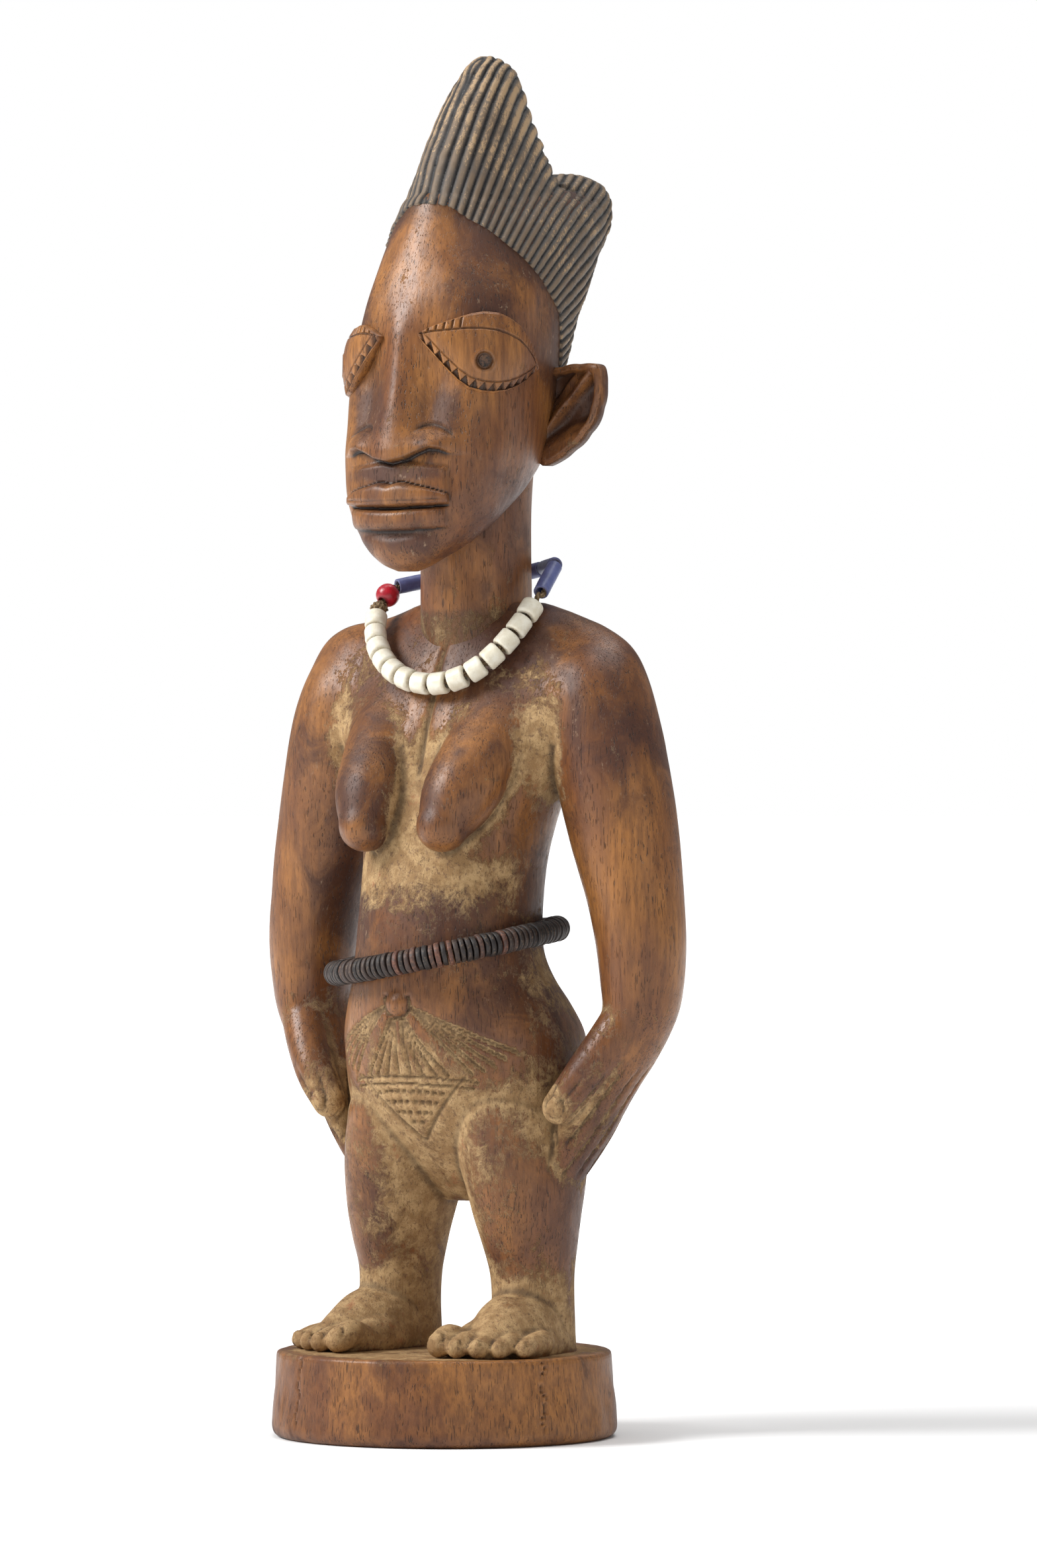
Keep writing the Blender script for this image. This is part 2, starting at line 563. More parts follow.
def stage_material():
    """White floor: matt near the middle, shining white by itself from a metre out."""
    kit = Kit("studio white", Base_Color=(0.93, 0.93, 0.93, 1), Roughness=0.9, Specular_IOR_Level=0.1,
              Emission_Strength=1.0)
    far = kit.add("ShaderNodeVectorMath", {"operation": "LENGTH"}, {0: kit.place()}, out="Value")
    kit.feed(Emission_Color=kit.mix(far.between(0.3, 1.1), (0, 0, 0), (1, 1, 1)))
    return kit.material


# ---------------------------------------------------------------- settings

class FIGURE_PG_sizes(PropertyGroup):
    body_voxel: FloatProperty(
        name="Body quad", description="Width of one quad of the carved body, mm",
        default=0.545, min=0.4, max=2)
    hair_voxel: FloatProperty(
        name="Hair quad", description="Width of one quad of the carved hair, mm",
        default=0.31, min=0.2, max=1)
    ridge_depth: FloatProperty(
        name="Ridge depth", description="Depth of the grooves in the hair, mm", default=0.75, min=0, max=1)
    cut_depth: FloatProperty(
        name="Cut depth", description="Depth of the lines cut in the belly, mm", default=0.75, min=0, max=1)
    face_columns: IntProperty(
        name="Face columns", description="Columns of quads round the front of the head", default=250, min=60)
    wood_light: FloatVectorProperty(
        name="Polished wood", description="Colour where the wood is rubbed bright", subtype="COLOR",
        default=(0.335, 0.140, 0.038))
    wood_mid: FloatVectorProperty(
        name="Wood", description="Colour of most of the wood", subtype="COLOR",
        default=(0.172, 0.064, 0.022))
    wood_dark: FloatVectorProperty(
        name="Patina", description="Colour of the dark patches", subtype="COLOR",
        default=(0.048, 0.016, 0.010))
    dust: FloatVectorProperty(
        name="Dust", description="Colour of the dust in the hollows", subtype="COLOR",
        default=(0.52, 0.345, 0.165))


# ---------------------------------------------------------------- the body

BELLY_ENDS = [1.6, 4.4, 7.2, 10.0, 14.6, 16.5, 18.3, 20.0, 21.6]
BELLY_FLOOR = [73.8, 73.8, 73.7, 73.5, 73.6, 74.6, 75.8, 77.2, 78.6]


def groove(distance, half):
    """A rounded cut: (1 - (d / half)^2)^2 inside its half width and nothing outside."""
    return np.clip(1 - (distance / half) ** 2, 0, 1) ** 2


def belly_cuts(x, z):
    """Depth from 0 to 1 of the lines on the belly. Each line of the fans runs from the navel along
    x = a + (end - a) s, z = top - (top - floor) s^1.5, and its distance is measured across it."""
    side = np.abs(x)
    cuts = 0 * x
    for end, floor in zip(BELLY_ENDS, BELLY_FLOOR):
        outer = end > 12
        a, top = (2.6, 87.6) if outer else (0.5 + 0.14 * end, 85.2)
        s = np.clip((side - a) / (end - a), 0, 1) if outer else np.clip((top - z) / (top - floor), 0, 1)
        if outer:
            off = (z - (top - (top - floor) * s ** 1.15)) * 0.86
            inside = (side > a) & (side < end)
        else:
            off = side - (a + (end - a) * s ** 1.2)
            inside = (z < top) & (z > floor)
        cuts = np.maximum(cuts, groove(off, 0.62) * inside)
    line = groove(z - 73.3 + 0.004 * x * x, 0.55) * (side < 15)
    line = np.maximum(line, groove(z - 71.9 + 0.004 * x * x, 0.4) * (side < 14.2))
    reach = (z - 61.5) * 0.95
    rows = 0 * x
    for level in (70.4, 68.2, 66.0, 64.0):
        dash = np.abs(((x / 1.75) % 1) - 0.5) < 0.33
        rows = np.maximum(rows, groove(z - level + 0.006 * x * x, 0.62) * dash * (side < reach))
    rim = groove((side - reach - 1.4) * 0.7, 0.7) * (z < 73.5) * (z > 60)
    return np.maximum.reduce([cuts, line, rows, rim * 0.8])


# Tip x, tip y and radius of each toe.
TOES = [(12.4, -19.6, 2.8), (16.9, -19.8, 2.2), (20.8, -18.2, 2.1), (24.4, -15.5, 2.0), (27.7, -11.9, 1.9)]


def body_grids():
    """Lofts and bars that overlap into one skin: trunk, arms, legs, feet, toes, breasts and hands."""
    right = [loft(ARM_ROWS, 64, 130), loft(LEG_ROWS, 56, 70)]
    # Instep, the foot's inner edge and its outer edge.
    right.append(tube([[16.6, 12.5, SOLE + 2], [17.2, 2, SOLE + 4], [18.6, -8, SOLE + 2.2],
                       [19.6, -13, SOLE + 1]], [6.0, 8.6, 6.6, 4.6]))
    right.append(tube([[14.5, 6, SOLE + 3], [13.4, -6, SOLE + 2.4], [12.9, -14, SOLE + 1.6]],
                      [5.4, 4.8, 3.0]))
    right.append(tube([[20.5, 6, SOLE + 2], [23.5, -4, SOLE + 1.4], [25.4, -9, SOLE + 1]],
                      [5.2, 4.2, 2.6]))
    for x, y, r in TOES:
        right.append(tube([[x * 0.93 + 0.6, y + 8.5, SOLE + 2.6], [x * 0.98, y + 3.5, SOLE + r * 1.3],
                           [x, y, SOLE + r * 0.85]], [2.6, r * 1.04, r * 0.94], 20))
    # Breast, then thumb, then the four fingers.
    right.append(tube([[15.4, 12.0, 155], [14.0, 3.6, 146], [11.9, -5.8, 136], [10.4, -11.6, 128.4],
                       [9.6, -14.4, 124.2]], [8.0, 8.6, 8.2, 7.2, 5.4], 40))
    right.append(tube([[40.6, 7.6, 86.5], [36.6, 3.4, 79.0], [32.2, 0.6, 72.2], [28.6, -0.5, 67.4]],
                      [5.2, 4.5, 4.0, 3.5], 32))
    for k in range(4):
        right.append(tube([[32.0 - 0.2 * k, 4.6 + 3.9 * k, 72], [29.6, 3.8 + 3.9 * k, 65],
                           [27.2, 4.2 + 3.5 * k, 59 + 0.6 * k], [25.8, 4.8 + 3.3 * k, 55.6 + 0.8 * k]],
                          [3.2, 2.5, 2.1, 1.8], 20))
    grids = [loft(TRUNK_ROWS, 96, 190)]
    for grid in right:
        grids += [grid, mirrored(grid)]
    # The navel's boss, and the right shoulder, which is fuller than the left one.
    grids.append(ball([0, -16.4, 88.3], [2.7, 1.7, 2.7]))
    grids.append(ball([-28, 12.5, 156.2], [12.4, 9.5, 10.4]))
    return grids


def carve_body(p, n, depth):
    """Moves the skin along its normal: breastbone line, navel ring, belly lines, nails, tool marks."""
    x, y, z = p.T
    side = np.abs(x)
    front = rise(-0.15, -0.45, n[:, 1]) * (y < 2)
    h = 0.08 * lumps(x, y, z * 0.6, 12, 3) + 0.02 * lumps(x, y, z * 0.7, 5, 5)
    chest = front * rise(133, 140, z) * rise(170.5, 167, z)
    h -= chest * 0.75 * groove(x - 0.25 * np.sin(z * 0.35), 1.0)
    h -= front * 0.8 * hill((x, 2.4), (z - 139, 12)) * rise(118, 126, z)
    belly = front * (side < 23) * (z > 59) * (z < 90)
    navel = np.hypot(x, z - 88.3)
    cuts = belly_cuts(x, z) * belly * (navel > 3.3)
    h -= depth * cuts + belly * 0.75 * groove(navel - 3.1, 0.7)
    for tx, ty, r in TOES:
        spot = np.hypot((side - tx) / (0.62 * r), (y - ty + 0.55 * r) / (0.62 * r))
        top = rise(0.2, 0.6, n[:, 2]) * (z > SOLE + r)
        h += top * (0.22 * (spot < 0.85) - 0.3 * groove(spot - 1.05, 0.3))
    thumb = np.hypot((side - 29.3) / 2.1, (z - 67.6) / 2.4)
    h += rise(-0.1, -0.5, n[:, 1]) * (y < 2) * (0.25 * (thumb < 0.8) - 0.35 * groove(thumb - 1, 0.25))
    lean = y - 0.25 * (z - 60)
    fingers = rise(24, 27, side) * rise(52, 55, z) * rise(77, 70, z) * rise(0.1, 0.5, np.abs(n[:, 0]))
    h -= 0.65 * fingers * groove(((lean / 3.9) % 1 - 0.5) * 3.9, 0.62)
    h += 0.35 * hill((side - 9.5, 2.0), (z - 122.0, 2.0)) * (y < -13)
    return h, cuts


def body_dust(x, y, z):
    """Dust from 0 to 1 by place: between and under the breasts, armpits, belly, hands, legs, feet."""
    side, front = np.abs(x), rise(4, -4, y)
    dust = 0.22 + 1.1 * hill((x, 4.8), (z - 127, 14)) * front
    dust += 0.9 * hill((side - 11, 11), (z - 114.0, 4.6)) * front
    dust += 1.1 * hill((side - 24.5, 4.2), (z - 137, 12)) * rise(12, 4, y)
    dust += 0.25 * hill((side, 20), (z - 108, 9)) * front
    dust += 1.0 * hill((x - 1, 14), (z - 69, 7.5)) * front
    dust += 0.5 * hill((x, 18), (z - 80, 7)) * front
    dust += 0.85 * hill((side - 28, 6.5), (z - 67, 10))
    dust += 0.95 * hill((side - 5, 7), (z - 46, 19))
    dust += 0.4 * hill((side - 16, 9), (z - 36, 14))
    dust += 1.0 * rise(38, 22, z) * rise(16.5, 18.5, z)
    dust += 0.55 * hill((side - 22, 6), (z - 92, 18)) * rise(-6, 2, y)
    dust += 0.5 * hill((side - 24, 9), (z - 160, 7)) * front
    dust += 0.4 * hill((side - 40, 7), (z - 82, 13))
    dust += 0.35 * hill((side - 16, 14), (z - 60, 12)) * rise(10, 0, y)
    return dust


def colour_body(obj, cuts):
    """Paints dust by place and hollow, patina by place, and creases; cuts are the belly lines."""
    x, y, z = read_points(obj).T
    side = np.abs(x)
    wide, fine = hollowness(obj, 60), hollowness(obj, 5)
    crease = np.clip(fine * 7 - 0.12, 0, 1) * 0.8
    dust = body_dust(x, y, z) + np.clip(wide * 1.3, -0.35, 0.7) + 0.05
    dust += cuts * 0.9
    crease = np.clip(crease - cuts * 0.6, 0, 1) + 0.45 * rise(0.45, 0.95, cuts)
    dark = (0.55 * hill((x, 30), (z - 152, 16)) + 0.5 * hill((side - 9, 8), (z - 128, 12))
            + 0.45 * hill((side - 14, 14), (z - 104, 14)) + 0.3 * hill((side - 15, 12), (z - 56, 12))
            - 0.30 * hill((side - 44, 7), (z - 98, 26)) + 0.3 * lumps(x, y, z, 46, 8)
            + 0.12 * hill((side - 42, 9), (z - 140, 20)))
    dark -= 0.9 * hill((side - 9.5, 3), (y + 17, 5), (z - 121, 4))
    rubbed = np.clip(hill((side - 9.5, 5), (y + 17, 6), (z - 124, 8)), 0, 1)
    paint(obj, "dust", dust * (1 - 0.75 * rubbed))
    paint(obj, "patina", dark)
    paint(obj, "crease", crease)


def half_of(source, name, level, keep_above):
    """A closed copy of one side of a level cut, with the new flat faces edged sharp."""
    obj = source.copy()
    obj.data = source.data.copy()
    obj.name = obj.data.name = name
    bpy.context.scene.collection.objects.link(obj)
    work = bmesh.new()
    work.from_mesh(obj.data)
    cut = bmesh.ops.bisect_plane(
        work, geom=work.verts[:] + work.edges[:] + work.faces[:], dist=1e-7, plane_co=(0, 0, level * MM),
        plane_no=(0, 0, 1), clear_inner=keep_above, clear_outer=not keep_above)
    rim = [g for g in cut["geom_cut"] if isinstance(g, bmesh.types.BMEdge)]
    bmesh.ops.holes_fill(work, edges=rim, sides=0)
    for edge in rim:
        edge.smooth = False
    work.to_mesh(obj.data)
    work.free()
    return obj


class FIGURE_OT_body(Operator):
    """Fuses trunk, limbs, hands and feet into one skin, carves it and cuts it at the waist"""
    bl_idname = "figure.body"
    bl_label = "Body"

    def execute(self, context):
        sizes = context.scene.figure_sizes
        whole = add_mesh("body", *closed(body_grids()))
        fused(whole, sizes.body_voxel, 5)
        x, y, z = read_points(whole).T
        side = np.abs(x)
        shoulder = rise(14, 20, side) * rise(139, 149, z) * rise(171, 166, z)
        shoulder = np.maximum(shoulder, hill((side - 13.5, 6), (z - 146, 7)) * rise(3, -2, y))
        soften(whole, shoulder, 170)
        whole.data.shade_smooth()
        points, normals = read_points(whole), read_points(whole, "normal")
        height, cuts = carve_body(points, normals, sizes.cut_depth)
        write_points(whole, points + normals * height[:, None])
        colour_body(whole, cuts)
        for name, above in (("upper_body", True), ("lower_body", False)):
            part = half_of(whole, name, WAIST_CUT, above)
            finish_wood(part)
        bpy.data.objects.remove(whole)
        return {"FINISHED"}


class FIGURE_OT_neck(Operator):
    """Carries the neck's outline from the chest up into the head"""
    bl_idname = "figure.neck"
    bl_label = "Neck"

    def execute(self, context):
        grid = loft(NECK_ROWS, 120, 110)
        x, y, z = grid[..., 0], grid[..., 1], grid[..., 2]
        out = grid[..., :2] - np.array([0, 11.2])
        out = out / np.linalg.norm(out, axis=2)[..., None]
        grid[..., :2] += out * (0.16 * lumps(x, y, z * 0.5, 8, 21))[..., None]
        neck = solid("neck", grid)
        z = read_points(neck)[:, 2]
        paint(neck, "dust", 0.45 * rise(170, 166.5, z) + 0.12)
        paint(neck, "patina", 0.30 * rise(176, 186, z) - 0.1)
        paint(neck, "crease", 0.5 * rise(168.6, 167.2, z))
        finish_wood(neck)
        return {"FINISHED"}


# ---------------------------------------------------------------- the head

def head_radius(theta, z):
    """Distance of the bare head from its own axis at a turn theta (0 = left, -90 = front) and a
    height z: 1 / ((|cos| / half)^p + (|sin| / depth)^p)^(1/p), with smooth rows. Returns also the
    axis's y."""
    table = smooth_table(HEAD_ROWS, 900)
    wide, front, back, half, square, square_back = [
        np.interp(z, table[:, 0], table[:, k]) for k in (2, 3, 4, 5, 6, 7)]
    c, s = np.abs(np.cos(theta)), np.sin(theta)
    deep = np.where(s < 0, wide - front, back - wide)
    blend = rise(-0.25, 0.1, s)
    power = square * (1 - blend) + square_back * blend
    s = np.abs(s)
    uneven = 1.2 * hill((z - 232, 8)) * rise(-0.3, -0.75, np.cos(theta))
    return ((c / half) ** power + (s / deep) ** power) ** (-1 / power) - uneven, wide


NOSE_FLOOR = ([0, 3, 6, 8, 10, 12, 14], [197.6, 198.2, 199.6, 200.4, 200.2, 199.4, 199.2])


def face_relief(x, z):
    """Height in mm of nose, wings, lips and hollows over the bare front of the head, with the
    heights of the nose's floor and of the mouth's slit."""
    side = np.abs(x)
    ridge = np.interp(z, [197, 200, 205, 212, 220, 227, 236], [3.5, 3.5, 3.0, 2.1, 1.3, 0.7, 0])
    width = np.interp(z, [197, 200, 205, 212, 220, 227, 236], [6.4, 5.8, 4.7, 3.7, 3.2, 3.6, 5])
    nose = ridge * np.exp(-(side / width) ** 2)
    wings = 2.1 * hill((side - 8.4, 3.8), (z - 201.0, 2.9))
    bow = 204.9 - 0.10 * (side - 8.0) ** 2
    fold = 0.7 * groove(z - bow, 1.0) * rise(4.2, 6.2, side) * rise(13.4, 11.6, side)
    floor = np.interp(side, *NOSE_FLOOR)
    nose = (nose + wings) * rise(-0.4, 0.2, z - floor) - fold
    hollow = 1.9 * hill((side - 8.8, 3.9), (z - 213, 9)) + 0.5 * hill((side - 12, 3), (z - 195, 4))
    end = rise(12.3, 11.3, side)
    top = 193.4 - 0.016 * side ** 2 + 0.35 * hill((side - 2.6, 1.8)) - 0.25 * hill((side, 1.2))
    slit = 188.5 + 0.012 * side ** 1.5
    swell = 3.0 - 1.7 * (side / 12) ** 1.6
    up = np.clip((z - slit) / (top - slit), 0, 1)
    upper = swell * np.clip(1 - (2 * up - 0.95) ** 4, 0, 1) ** 0.5
    upper = upper * (z > slit - 0.15) * rise(top + 0.15, top - 0.1, z)
    base = 183.7 + 0.012 * side ** 1.6
    down = np.clip((slit - 0.5 - z) / (slit - 0.5 - base), 0, 1)
    lower = (swell - 0.75) * np.clip(1 - (2 * down - 1.05) ** 4, 0, 1) ** 0.5
    lower = lower * (z > base) * (z < slit - 0.35) * rise(11.6, 10.4, side)
    lips = (upper + lower) * end
    mouth = 0.45 * groove(z - slit + 0.25, 0.45) * rise(12.2, 11.4, side)
    mouth = mouth + 0.25 * groove(z - slit - 1.1, 0.3) * rise(11, 9, side)
    crest = np.minimum(197.4 - 0.12 * side, floor - 0.9)
    plane = 0.85 * rise(-0.9, 0.5, crest - z) * (z > top) * rise(12.4, 10.8, side)
    crease = 0.5 * hill((side, 9), (z - 183.0, 0.9))
    chin = 0.7 * hill((side, 7), (z - 179.6, 3))
    brow = 0.5 * hill((side - 13, 9), (z - 231, 5))
    return nose - hollow + lips - mouth + plane - crease + chin + brow, floor, slit


def head_angles(columns):
    """Turns round the head, close together over the face and wider at the back."""
    face = np.linspace(-200, 20, columns, endpoint=False)
    rest = np.linspace(20, 160, 46, endpoint=False)
    return np.radians(np.concatenate([face, rest]))


class FIGURE_OT_head(Operator):
    """Builds the head as a grid of turn and height with the face worked out over it"""
    bl_idname = "figure.head"
    bl_label = "Head and face"

    def execute(self, context):
        theta = head_angles(context.scene.figure_sizes.face_columns)[None, :]
        z = np.concatenate([175.6 + 4.4 * np.linspace(0, 1, 26) ** 1.6, np.linspace(180.3, 207, 106),
                            np.linspace(207.5, 254.8, 96)])[:, None] + 0 * theta
        radius, wide = head_radius(theta + 0 * z, z)
        x = radius * np.cos(theta)
        facing = rise(0.05, -0.35, np.sin(theta) + 0 * z)
        marks = 0.13 * lumps(x, radius * np.sin(theta), z * 0.6, 9, 12)
        radius = radius + face_relief(x, z)[0] * facing + marks
        grid = np.stack([radius * np.cos(theta), wide + radius * np.sin(theta), z], axis=2)
        head = solid("head", grid)
        x, y, z = read_points(head).T
        fine = hollowness(head, 4)
        side, front = np.abs(x), rise(2, -6, y)
        patina = (0.55 * hill((side - 13, 8), (z - 229, 7)) * front
                  + 0.95 * hill((side, 12), (z - 195.2, 1.7)) * front
                  + 0.5 * hill((side, 13), (z - 181.5, 3.2))
                  + 0.35 * hill((side - 10, 4), (z - 206, 6)) * front
                  + 0.45 * hill((y - 6, 10), (z - 189, 10))
                  + 0.40 * hill((side - 12, 6), (z - 208, 5)) * front
                  - 0.5 * hill((x, 7), (z - 232, 16)) * front
                  - 0.4 * hill((side - 15, 4), (z - 203, 8)) + 0.25 * lumps(x, y, z, 30, 31))
        line = np.interp(z, HAIRLINE[0], HAIRLINE[1])
        smudge = rise(-11, -0.5, y - line) * rise(205, 215, z)
        paint(head, "dust", 0.02 + 0.25 * hill((side, 14), (z - 187.6, 0.8)) * front
              + 0.25 * hill((z - 197, 1), (side, 10)))
        paint(head, "patina", patina + 0.55 * smudge)
        relief, floor, slit = face_relief(x, z)
        shadow = 0.75 * hill((z - floor + 0.7, 0.75)) * rise(13, 11, side) * front
        shadow += 0.8 * hill((z - slit + 0.25, 0.35)) * rise(12.4, 11.6, side) * front
        shadow += 0.45 * hill((z - 183.6 - 0.012 * side ** 1.6, 0.6)) * rise(12, 9, side) * front
        shadow += 0.35 * hill((z - 193.6 + 0.016 * side ** 2, 0.45)) * rise(12.4, 11.4, side) * front
        paint(head, "crease", np.clip(fine * 6 - 0.05, 0, 0.9) + shadow
              + 0.4 * smudge * rise(-4, -0.5, y - line))
        finish_wood(head)
        return {"FINISHED"}


# Turn in degrees against the height of the upper and lower lid of the figure's left eye.
LIDS = ([-78, -74, -70, -65, -60, -52, -45, -37, -30, -22, -15, -7, 0],
        [223.2, 224.1, 224.9, 225.6, 226.3, 227.4, 227.9, 227.7, 226.8, 225.3, 223.2, 220.2, 216.6],
        [222.8, 221.2, 219.8, 218.0, 216.3, 213.8, 212.2, 211.5, 211.4, 211.8, 212.6, 214.0, 215.9])


def eye_grid(along, across):
    """The eye's slab: turn goes from the inner to the outer corner with along (0 to 1), height from
    lower to upper lid with across (-1 to 1), and it stands out from the head by the eye's relief."""
    turn = -78 + 78 * along
    high, low = np.interp(turn, LIDS[0], LIDS[1]), np.interp(turn, LIDS[0], LIDS[2])
    z = low + (high - low) * (across + 1) / 2
    radius, wide = head_radius(np.radians(turn), z)
    return turn, z, high - low, radius, wide


def eye_relief(along, across, tall, run):
    """Height over the head: a ledge, the ball's swell, the lid line and hatching above it, and a
    band of triangular notches below. run is the distance in mm from the inner corner."""
    swell = np.sin(np.pi * np.clip(along, 0.0, 1.0)) ** 0.7
    h = 1.25 + 0.55 * across + 1.05 * (1 - across ** 2) * swell
    h = h - 0.5 * rise(0.94, 1.0, np.abs(across)) * swell
    upper = groove((across - 0.56) * tall / 2, 0.33) * rise(0.02, 0.07, along) * rise(0.99, 0.95, along)
    hatch = groove(((run / 1.5) % 1 - 0.5) * 1.5, 0.33) * (across > 0.58) * (across < 0.96)
    hatch = hatch * rise(0.34, 0.30, along)
    faint = groove(((run / 0.9) % 1 - 0.5) * 0.9, 0.2) * (across > 0.6) * (across < 0.97)
    faint = faint * rise(0.74, 0.78, along)
    down = (across + 1) * tall / 2
    teeth = np.abs((run / 2.05) % 1 - 0.5) * 2
    notch = (down > 0.35) * (down < 0.35 + 1.75 * (1 - teeth))
    notch = notch * rise(0.02, 0.05, along) * rise(0.99, 0.96, along)
    line = groove(down - 2.25, 0.3) * rise(0.04, 0.08, along) * rise(0.99, 0.95, along)
    cuts = np.maximum.reduce([upper * 0.8, hatch * 0.9, faint * 0.3, line * 0.5])
    return h - 0.5 * cuts - 0.85 * notch, np.maximum(cuts, notch)


class FIGURE_OT_eyes(Operator):
    """Builds each eye as a raised slab with lids, a notched lower band and a hole for its pin"""
    bl_idname = "figure.eyes"
    bl_label = "Eyes"

    def execute(self, context):
        along = (0.5 - 0.5 * np.cos(np.linspace(0.03, np.pi - 0.03, 250)))[:, None]
        along = 0.45 * along + 0.55 * np.linspace(0.002, 0.998, 250)[:, None]
        even = np.linspace(-1, 1, 130)[None, :]
        across = np.sin(np.linspace(-np.pi / 2, np.pi / 2, 130))[None, :] * 0.35 + even * 0.65
        turn, z, tall, radius, wide = eye_grid(along, across)
        step = np.radians(78) * np.diff(along[:, 0], prepend=along[0, 0])[:, None] * 21.5
        run = np.cumsum(step, axis=0) + 0 * z
        relief, cuts = eye_relief(along, across, tall, run)
        out = radius + relief
        spread = np.radians(turn)
        top = np.stack([out * np.cos(spread), wide + out * np.sin(spread), z], axis=2)
        away = np.linalg.norm(top - PUPIL, axis=2)
        sink = 0.45 * rise(2.1, 1.5, away) - 0.18 * groove(away - 2.2, 0.6)
        out = out - sink
        top = np.stack([out * np.cos(spread), wide + out * np.sin(spread), z], axis=2)
        inner = radius - 1.6
        under = np.stack([inner * np.cos(spread), wide + inner * np.sin(spread), z], axis=2)
        # Across the top, round the edge and back under: each column is a closed ring.
        grid = np.concatenate([top, under[:, ::-1]], axis=1)
        marks = np.concatenate([cuts, 0 * cuts], axis=1).ravel()
        other = mirrored(grid)
        x, z = other[..., 0], other[..., 2]
        other[..., 2] -= 2.3 * hill((z - 229, 5)) * rise(-9, -16, x)
        other[..., 0] += 1.2 * hill((z - 232, 8)) * rise(-7, -15, x)
        for name, shape in (("eye_left", grid), ("eye_right", other)):
            eye = solid(name, shape)
            values = marks if name == "eye_left" else marks.reshape(grid.shape[:2])[:, ::-1].ravel()
            x, y, zz = read_points(eye).T
            near = np.hypot(np.hypot(np.abs(x) - PUPIL[0], y - PUPIL[1]), zz - PUPIL[2])
            paint(eye, "dust", 0 * x + 0.03)
            paint(eye, "patina", 0.40 * hill((zz - 213, 3)) - 0.55 + 0.2 * lumps(x, y, zz, 14, 41))
            paint(eye, "crease", np.clip(values * 0.95 + 0.8 * rise(2.4, 1.4, near), 0, 1))
            finish_wood(eye)
        return {"FINISHED"}


EAR_EDGE = np.array([[17.0, 217.2], [19.8, 217.4], [24.5, 217.9], [28.8, 217.7], [29.4, 213.4],
                     [28.6, 209.0], [25.5, 203.9], [21.6, 200.6], [18.2, 198.4], [14.6, 197.2],
                     [13.6, 203.0], [14.0, 211.0]])


class FIGURE_OT_ears(Operator):
    """Builds each ear as a plate with a rim, a hollow and a slanting ridge across it"""
    bl_idname = "figure.ears"
    bl_label = "Ears"

    def execute(self, context):
        centre = np.array([21.4, 210.0])
        way = EAR_EDGE - centre
        turn = np.unwrap(np.arctan2(way[:, 1], way[:, 0]))
        reach = np.linalg.norm(way, axis=1)
        order = np.argsort(turn)
        t = np.linspace(-np.pi, np.pi, 120, endpoint=False)
        edge = np.interp(t, turn[order], reach[order], period=2 * np.pi)[None, :]
        edge = (edge + np.roll(edge, 1, 1) + np.roll(edge, -1, 1)) / 3
        share = np.concatenate([np.linspace(0.02, 1, 46) ** 0.8, [1.0], np.linspace(1, 0.02, 14)])[:, None]
        x = centre[0] + share * edge * np.cos(t)
        z = centre[1] + share * edge * np.sin(t)
        rim = np.maximum(rise(0.76, 0.85, share + 0 * x), rise(206.5, 202.5, z - 0.35 * (x - 21)))
        # The flap is a ridge that slants up and back across the hollow, with a step under it.
        off = (z - 205.4 - 1.04 * (x - 17.6)) / 1.44
        flap = 0.85 * hill((off - 0.6, 1.1)) + 0.35 * rise(-0.3, 0.5, off) * rise(4.6, 3.6, off)
        flap = flap * rise(28.4, 26.6, x)
        y = 15.1 - 2.6 * rim - 2.3 * flap * (1 - rim) + 0.35 * lumps(x, 0 * x, z, 5, 51) * (1 - rim)
        y = y + 0.9 * rise(0.9, 1.0, share)
        y[47:] = 16.6 - 0.7 * rise(0.8, 1.0, share[47:])
        grid = np.stack([x, y, z], axis=2)
        for name, shape in (("ear_left", grid), ("ear_right", mirrored(grid))):
            ear = solid(name, shape)
            fine = hollowness(ear, 4)
            px, py, pz = read_points(ear).T
            paint(ear, "dust", 0.1 + 0 * px)
            paint(ear, "patina", 0.55 * rise(13.4, 15, py) + 0.1)
            paint(ear, "crease", np.clip(fine * 2, 0, 0.6) + 0.35 * rise(13.8, 15, py) * rise(16.2, 15.6, py))
            finish_wood(ear)
        return {"FINISHED"}


# ---------------------------------------------------------------- the hair

# Height against the y where hair starts on the head, seen from the side.
HAIRLINE = ([200, 202.4, 203, 206, 212, 222.6, 228.6, 235.4, 241.5, 247.3, 249.6, 251, 300],
            [120, 120, 26, 19, 17, 15.8, 14.3, 7.6, 1.2, -4.4, -6.0, -9, -60])
BACK_OF_HAIR = ([196, 206, 218, 230, 242, 250, 256, 262],
                [10, 6, 6, 10, 22, 34, 40, 42], [18.6, 19.1, 19.4, 18.8, 16.5, 12, 9, 6],
                [22, 27, 31.2, 37.5, 46.6, 52, 53, 50])
FAN_U, FAN_Z = -22.9, 170.6
SLANT = np.radians(35)


